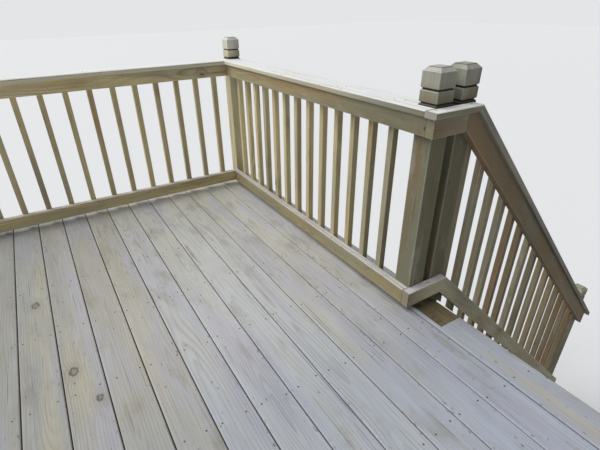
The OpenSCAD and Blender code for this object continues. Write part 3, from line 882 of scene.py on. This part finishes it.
for side in ("left", "right"):
    bench = Bench(side)
    for z, tone, turned_and_lit in FRONT_RAIL_LOOKS:
        bench.plank(
            (-CORNER_X + PLANK_T, INNER_Y - PLANK_T, z), (-HEAD_X, INNER_Y, z + RAIL_D), X_AXIS,
            turned_and_lit=turned_and_lit, tone=tone)
    # The balusters turn paler towards the far corner: painted light
    for i in range(FRONT_COUNT):
        x = front_first + i * FRONT_PITCH
        bench.plank(
            (x, INNER_Y, BOTTOM_UNDER), (x + BALUSTER_W, INNER_Y + BALUSTER_W, CAP_UNDER), Z_AXIS,
            turned_and_lit=1 - i / FRONT_COUNT, tone=rng.uniform(*FRONT_BALUSTER_TONES))
    bench.piece(f"planed_{side}_front_panel", "rails", side + "_front_panel")

    bench = Bench(side)
    for z in (BOTTOM_UNDER, UPPER_UNDER):
        bench.plank(
            (-CORNER_X, HOUSE_POST_Y, z), (-CORNER_X + PLANK_T, INNER_Y, z + RAIL_D), Y_AXIS, turned_and_lit=SIDE_RAIL_TURN)
    for i in range(1, SIDE_COUNT + 1):
        y = INNER_Y - i * (side_gap + BALUSTER_W)
        bench.plank(
            (-CORNER_X - BALUSTER_W, y, BOTTOM_UNDER), (-CORNER_X, y + BALUSTER_W, CAP_UNDER), Z_AXIS,
            turned_and_lit=SIDE_BALUSTER_TURN)
    bench.piece(f"planed_{side}_side_panel", "rails", side + "_side_panel")

    bench = Bench(side)
    depth = HAND_RAIL_D * PLUMB
    bench.extrude([
        (UPPER_JOINT_Y, cap_slope_z(UPPER_JOINT_Y) - depth), (RAIL_END_Y, cap_slope_z(RAIL_END_Y) - depth),
        (RAIL_END_Y, cap_slope_z(RAIL_END_Y)), (CAP_SEAT_Y, CAP_UNDER), (UPPER_JOINT_Y, CAP_UNDER)],
        0, -HEAD_X, -HEAD_X + PLANK_T)
    bench.finish(DOWN_FLIGHT, PLANK_EASE, tone=STAIR_UPPER_TONE)
    depth = RAIL_D * PLUMB
    bench.extrude([
        (LOWER_JOINT_Y, BOTTOM_UNDER), (RAIL_END_Y, bottom_slope_z(RAIL_END_Y)),
        (RAIL_END_Y, bottom_slope_z(RAIL_END_Y) + depth), (LOWER_JOINT_Y + RAIL_D * MITRE, BOTTOM_TOP)],
        0, -HEAD_X, -HEAD_X + PLANK_T)
    bench.finish(DOWN_FLIGHT, PLANK_EASE, tone=STAIR_BOTTOM_TONE)
    for i in range(STAIR_COUNT):
        y = stair_first + i * stair_pitch
        ends = (y, y + BALUSTER_W)
        feet = [(end, bottom_slope_z(end) - BALUSTER_DROP) for end in ends]
        tops = [(end, cap_slope_z(end)) for end in reversed(ends)]
        bench.extrude(feet + tops, 0, -HEAD_X - BALUSTER_W, -HEAD_X)
        bench.finish(
            Z_AXIS, PLANK_EASE, STAIR_BALUSTER_TURN * (i / STAIR_COUNT) ** 2, tone=rng.uniform(*STAIR_BALUSTER_TONES))
    bench.piece(f"planed_{side}_stair_panel", "shaded_rails", side + "_stair_panel")

    bench = Bench(side)
    bench.extrude(
        rectangle(-HEAD_X, INNER_Y - PLANK_T, -HEAD_X + PLANK_T, UPPER_JOINT_Y), 2, UPPER_UNDER, CAP_UNDER)
    bench.finish(Y_AXIS, PLANK_EASE, tone=RETURN_UPPER_TONE)
    bench.piece(f"planed_{side}_return_upper_rail", "shaded_rails", side + "_return_upper_rail")

    bench = Bench(side)
    start = INNER_Y - PLANK_T
    bench.extrude([
        (start, BOTTOM_UNDER), (LOWER_JOINT_Y, BOTTOM_UNDER),
        (LOWER_JOINT_Y + RAIL_D * MITRE, BOTTOM_TOP), (start, BOTTOM_TOP)], 0, -HEAD_X, -HEAD_X + PLANK_T)
    bench.finish(Y_AXIS, PLANK_EASE, tone=RETURN_BOTTOM_TONE)
    bench.piece(f"planed_{side}_return_bottom_rail", "shaded_rails", side + "_return_bottom_rail")

    bench = Bench(side)
    outer = cap_in_y + CAP_W
    notch_y = INNER_Y - POST_FIT
    notch_x = -HEAD_X - POST_W - POST_FIT
    corner_x = -CORNER_X + POST_FIT
    bench.extrude([
        (-cap_in_x, cap_in_y), (-HEAD_X, cap_in_y), (-HEAD_X, notch_y), (notch_x, notch_y),
        (notch_x, outer), (corner_x, outer), (corner_x, notch_y)], 2, CAP_UNDER, GUARD_TOP)
    bench.finish(X_AXIS, CAP_EASE, tone=FRONT_CAP_TONE)
    bench.piece(f"rounded_{side}_front_cap", "cap_boards", side + "_front_cap")

    bench = Bench(side)
    outer = -cap_in_x - CAP_W
    house_end = HOUSE_POST_Y + POST_W + POST_FIT
    bench.extrude([
        (-cap_in_x, cap_in_y), (corner_x, notch_y), (outer, notch_y), (outer, house_end),
        (corner_x, house_end), (corner_x, HOUSE_POST_Y), (-cap_in_x, HOUSE_POST_Y)], 2, CAP_UNDER, GUARD_TOP)
    bench.finish(Y_AXIS, CAP_EASE, tone=SIDE_CAP_TONE)
    bench.piece(f"rounded_{side}_side_cap", "cap_boards", side + "_side_cap")

    bench = Bench(side)
    bench.extrude([
        (cap_in_y, CAP_UNDER), (CAP_SEAT_Y, CAP_UNDER), (CAP_JOINT_Y, GUARD_TOP), (cap_in_y, GUARD_TOP)],
        0, -HEAD_X, -HEAD_X + inner_edge)
    bench.finish(Y_AXIS, CAP_EASE, tone=FLIGHT_CAP_TONE)
    bench.piece(f"rounded_{side}_return_cap", "cap_boards", side + "_return_cap")

    # The sloped cap is drawn in plan with a little spare length, sheared to the slope and sawn along the mitre
    bench = Bench(side)
    head_cut = HEAD_Y + POST_FIT
    foot_cut = FOOT_Y - POST_W - POST_FIT
    back_x = -HEAD_X + inner_edge - CAP_W
    over = CAP_SEAT_Y - CAP_SPARE
    bench.extrude([
        (-HEAD_X + inner_edge, over), (-HEAD_X + inner_edge, CAP_END_Y), (-HEAD_X, CAP_END_Y),
        (-HEAD_X, foot_cut), (back_x, foot_cut), (back_x, head_cut), (-HEAD_X, head_cut), (-HEAD_X, over)],
        2, CAP_UNDER, CAP_UNDER + CAP_T * PLUMB)
    lean = Matrix.Identity(4)
    lean[2][1] = -SLOPE
    lean[2][3] = SLOPE * CAP_SEAT_Y
    bmesh.ops.transform(bench.bm, matrix=lean, verts=bench.fresh())
    mitre_way = Vector((0, GUARD_TOP - CAP_UNDER, -(CAP_JOINT_Y - CAP_SEAT_Y)))
    bench.cut((0, CAP_SEAT_Y, CAP_UNDER), -mitre_way)
    bench.finish(DOWN_FLIGHT, CAP_EASE, tone=FLIGHT_CAP_TONE)
    bench.piece(f"rounded_{side}_stair_cap", "cap_boards", side + "_stair_cap")

# Nail and bolt heads: radius, how far in and out, and sides of each ring
NAIL = [(NAIL_R, -HEAD_SINK, NAIL_RISE, NAIL_SIDES)]
BOLT = [(WASHER_R, -HEAD_SINK, WASHER_T, WASHER_SIDES), (BOLT_R, WASHER_T, WASHER_T + BOLT_RISE, BOLT_SIDES)]

board_nails = []
for i in range(-1, BOARD_COUNT):
    centre = INNER_Y - BOARD_W / 2 - i * (BOARD_W + BOARD_GAP)
    for x in [*JOIST_XS, -END_X - PLANK_T / 2, END_X + PLANK_T / 2]:
        # The front board is cut away at the head of the flight
        if i == -1 and HEAD_X - NOTCH_L - CUT_SPARE < abs(x) < HEAD_X + POST_W + CUT_SPARE:
            continue
        for y in (centre - BOARD_NAIL_OFF, centre + BOARD_NAIL_OFF):
            board_nails.append(((x + stray(BOARD_STRAY_X), y + stray(BOARD_STRAY_Y), DECK_TOP), Z_AXIS))
for k in range(1, RISERS):
    for x in (-HEAD_X + PLANK_T / 2, 0.0, HEAD_X - PLANK_T / 2):
        for share in TREAD_NAIL_SHARES:
            y = RISER_Y + (k - 1) * GOING + TREAD_GAP + TREAD_D * share
            board_nails.append(((x, y + stray(TREAD_STRAY), DECK_TOP - k * RISE), Z_AXIS))
heads("board_nail_heads", NAIL_STEEL, board_nails, NAIL)

# Places of the nails in the rails, the caps and the rim
RAIL_NAIL_ZS = (BOTTOM_UNDER + RAIL_D / 2, UPPER_UNDER + RAIL_D / 2)
FRONT_CAP_NAIL_XS = (CORNER_X - 0.10, CORNER_X - 0.70, CORNER_X - 1.30, HEAD_X + POST_W + 0.10)
SIDE_CAP_NAIL_YS = (HOUSE_POST_Y + POST_W + 0.12, HOUSE_POST_Y + 0.90, INNER_Y - 0.15)
RETURN_CAP_NAIL_YS = (INNER_Y - 0.02, HEAD_Y - 0.05)
RIM_NAIL_ZS = (FRAME_TOP - 0.04, FRAME_TOP - 0.092, FRAME_TOP - 0.144)

rail_nails = []
for way in (-1, 1):
    for i in range(FRONT_COUNT):
        x = way * (front_first + i * FRONT_PITCH + BALUSTER_W / 2)
        for z in RAIL_NAIL_ZS:
            rail_nails.append(((x, INNER_Y + BALUSTER_W, z + stray(RAIL_STRAY)), Y_AXIS))
    for i in range(1, SIDE_COUNT + 1):
        y = INNER_Y - i * (side_gap + BALUSTER_W) + BALUSTER_W / 2
        for z in RAIL_NAIL_ZS:
            rail_nails.append(((way * (CORNER_X + BALUSTER_W), y, z + stray(RAIL_STRAY)), way * X_AXIS))
    for i in range(STAIR_COUNT):
        y = stair_first + i * stair_pitch + BALUSTER_W / 2
        for z in (bottom_slope_z(y) + RAIL_D * PLUMB / 2, cap_slope_z(y) - HAND_RAIL_D * PLUMB / 2):
            rail_nails.append(((way * (HEAD_X + BALUSTER_W), y, z + stray(STAIR_STRAY)), way * X_AXIS))
    # A cap is nailed down in pairs, to the rail and to the balusters
    for x in FRONT_CAP_NAIL_XS:
        rail_nails.append(((way * x, INNER_Y - PLANK_T / 2, GUARD_TOP), Z_AXIS))
        rail_nails.append(((way * (x - CAP_NAIL_SHIFT), INNER_Y + BALUSTER_W / 2, GUARD_TOP), Z_AXIS))
    for y in SIDE_CAP_NAIL_YS:
        rail_nails.append(((way * (CORNER_X - PLANK_T / 2), y, GUARD_TOP), Z_AXIS))
        rail_nails.append(((way * (CORNER_X + BALUSTER_W / 2), y - CAP_NAIL_SHIFT, GUARD_TOP), Z_AXIS))
    for y in RETURN_CAP_NAIL_YS:
        rail_nails.append(((way * (HEAD_X - PLANK_T / 2), y, GUARD_TOP), Z_AXIS))
for x in JOIST_XS:
    if abs(x) > HEAD_X + POST_W:
        for z in RIM_NAIL_ZS:
            rail_nails.append(((x, RIM_Y, z), Y_AXIS))
heads("rail_nail_heads", NAIL_STEEL, rail_nails, NAIL)

# Bolts through the rim, the head posts and the end joists
BOLT_ZS = (FRAME_TOP - 0.055, FRAME_TOP - 0.135)
bolts = []
for way in (-1, 1):
    for z in BOLT_ZS:
        bolts.append(((way * (CORNER_X + POST_W / 2), RIM_Y, z), Y_AXIS))
        bolts.append(((way * (HEAD_X + POST_W / 2), HEAD_Y, z), Y_AXIS))
        for y in ((INNER_Y + POST_Y) / 2, HOUSE_POST_Y + POST_W / 2):
            bolts.append(((way * (END_X + PLANK_T), y, z), way * X_AXIS))
heads("bolt_heads", PLATE_STEEL, bolts, BOLT)

# Folded steel hangers under both ends of every joist
bench = Bench()
inner = PLANK_T / 2
outer = inner + HANGER_STEEL
seat = RIM_UNDER - HANGER_STEEL
for x in JOIST_XS:
    for wall, way in ((POST_Y, -1), (HOUSE_POST_Y, 1)):
        bench.extrude([
            (x - outer, seat), (x + outer, seat), (x + outer, seat + HANGER_DEPTH), (x + inner, seat + HANGER_DEPTH),
            (x + inner, RIM_UNDER), (x - inner, RIM_UNDER), (x - inner, seat + HANGER_DEPTH),
            (x - outer, seat + HANGER_DEPTH)], 1, wall, wall + way * HANGER_REACH)
        for x_low, x_high in ((x - outer - HANGER_FLANGE, x - outer), (x + outer, x + outer + HANGER_FLANGE)):
            bench.extrude(
                rectangle(x_low, RIM_UNDER, x_high, seat + HANGER_DEPTH), 1, wall, wall + way * HANGER_STEEL)
bench.piece("folded_joist_hangers", "fixings", material=PLATE_STEEL)

# Dirt in the gaps between the deck boards, with painted shade: a dark sheet that keeps the lit floor below from
# showing through
bench = Bench()
for i in range(BOARD_COUNT):
    low_y = INNER_Y - i * (BOARD_W + BOARD_GAP)
    high_y = low_y + BOARD_GAP
    spans = [(-END_X - PLANK_T, END_X + PLANK_T)]
    if i == 0:
        high_y = DECK_EDGE_Y - BOARD_W
        spans = [(-CORNER_X, -HEAD_X - POST_W), (-HEAD_X, HEAD_X), (HEAD_X + POST_W, CORNER_X)]
    for x_low, x_high in spans:
        bench.extrude(
            rectangle(x_low, low_y, x_high, high_y), 2, DECK_TOP - DIRT_AND_SHADE_DEEP - DIRT_AND_SHADE_T, DECK_TOP - DIRT_AND_SHADE_DEEP)
        bench.finish(X_AXIS, 0)
bench.piece("gap_dirt_and_shade", "decking", material=DIRT_AND_SHADE)

# Stage: a pale floor, a wide soft sun above the house side and a weaker sky
FLOOR_HALF = 60.0
FLOOR_COLOUR = (0.78, 0.79, 0.80)
FLOOR_ROUGH = 0.9
SUN_STRENGTH = 3.0
SUN_SPREAD = math.radians(70)
SUN_WAY = Vector((-0.34, -0.48, 0.81)).normalized()
SKY_COLOUR = (0.93, 0.96, 1.0)
SKY_STRENGTH = 0.22

floor_material, _, floor_shader = new_material("pale_floor")
floor_shader.inputs["Base Color"].default_value = (*FLOOR_COLOUR, 1)
floor_shader.inputs["Roughness"].default_value = FLOOR_ROUGH
floor_bm = bmesh.new()
bmesh.ops.create_grid(floor_bm, x_segments=1, y_segments=1, size=FLOOR_HALF)
floor = mesh_object("floor", floor_bm, floor_material)

# Where the floor ends, the camera sees a sky as bright as the lit floor
seen_light = SUN_STRENGTH * SUN_WAY.z / math.pi + SKY_STRENGTH
world = bpy.data.worlds.new("sky")
bpy.context.scene.world = world
world.use_nodes = True
sky = Graph(world.node_tree)
background = world.node_tree.nodes["Background"]
background.inputs["Color"].default_value = (*SKY_COLOUR, 1)
background.inputs["Strength"].default_value = SKY_STRENGTH
seen = sky.node("ShaderNodeBackground")
seen.inputs["Color"].default_value = (*[c * seen_light for c in FLOOR_COLOUR], 1)
seen.inputs["Strength"].default_value = 1.0
rays = sky.node("ShaderNodeLightPath")
direct = sky.math("MAXIMUM", rays.outputs["Is Camera Ray"], sky.math(
    "MAXIMUM", rays.outputs["Is Glossy Ray"], rays.outputs["Is Transmission Ray"]))
both = sky.node("ShaderNodeMixShader")
sky.put(both.inputs[0], direct)
sky.put(both.inputs[1], background.outputs[0])
sky.put(both.inputs[2], seen.outputs[0])
sky.put(world.node_tree.nodes["World Output"].inputs[0], both.outputs[0])

sun_data = bpy.data.lights.new("soft_sun", "SUN")
sun_data.energy = SUN_STRENGTH
sun_data.angle = SUN_SPREAD
sun = scene_object("soft_sun", sun_data)
sun.rotation_euler = SUN_WAY.to_track_quat("Z", "Y").to_euler()

# Camera: place, angles and lens as fitted to the photo
CAMERA_PLACE = (0.5112, -1.3773, 3.3448)
YAW = math.radians(59.22)
TILT = math.radians(90 - 29.21)
ROLL = math.radians(-1.02)
SENSOR_W = 36.0
LENS = 24.83
LENS_SHIFT = (0.0147, 0.0125)
CLIP_START = 0.05
camera_data = bpy.data.cameras.new("camera")
camera_data.sensor_width = SENSOR_W
camera_data.lens = LENS
camera_data.shift_x, camera_data.shift_y = LENS_SHIFT
camera_data.clip_start = CLIP_START
camera = scene_object("camera", camera_data)
camera.matrix_world = (
    Matrix.Translation(CAMERA_PLACE) @ Matrix.Rotation(YAW, 4, "Z")
    @ Matrix.Rotation(TILT, 4, "X") @ Matrix.Rotation(ROLL, 4, "Z"))
bpy.context.scene.camera = camera
bpy.context.scene.view_settings.view_transform = "Standard"
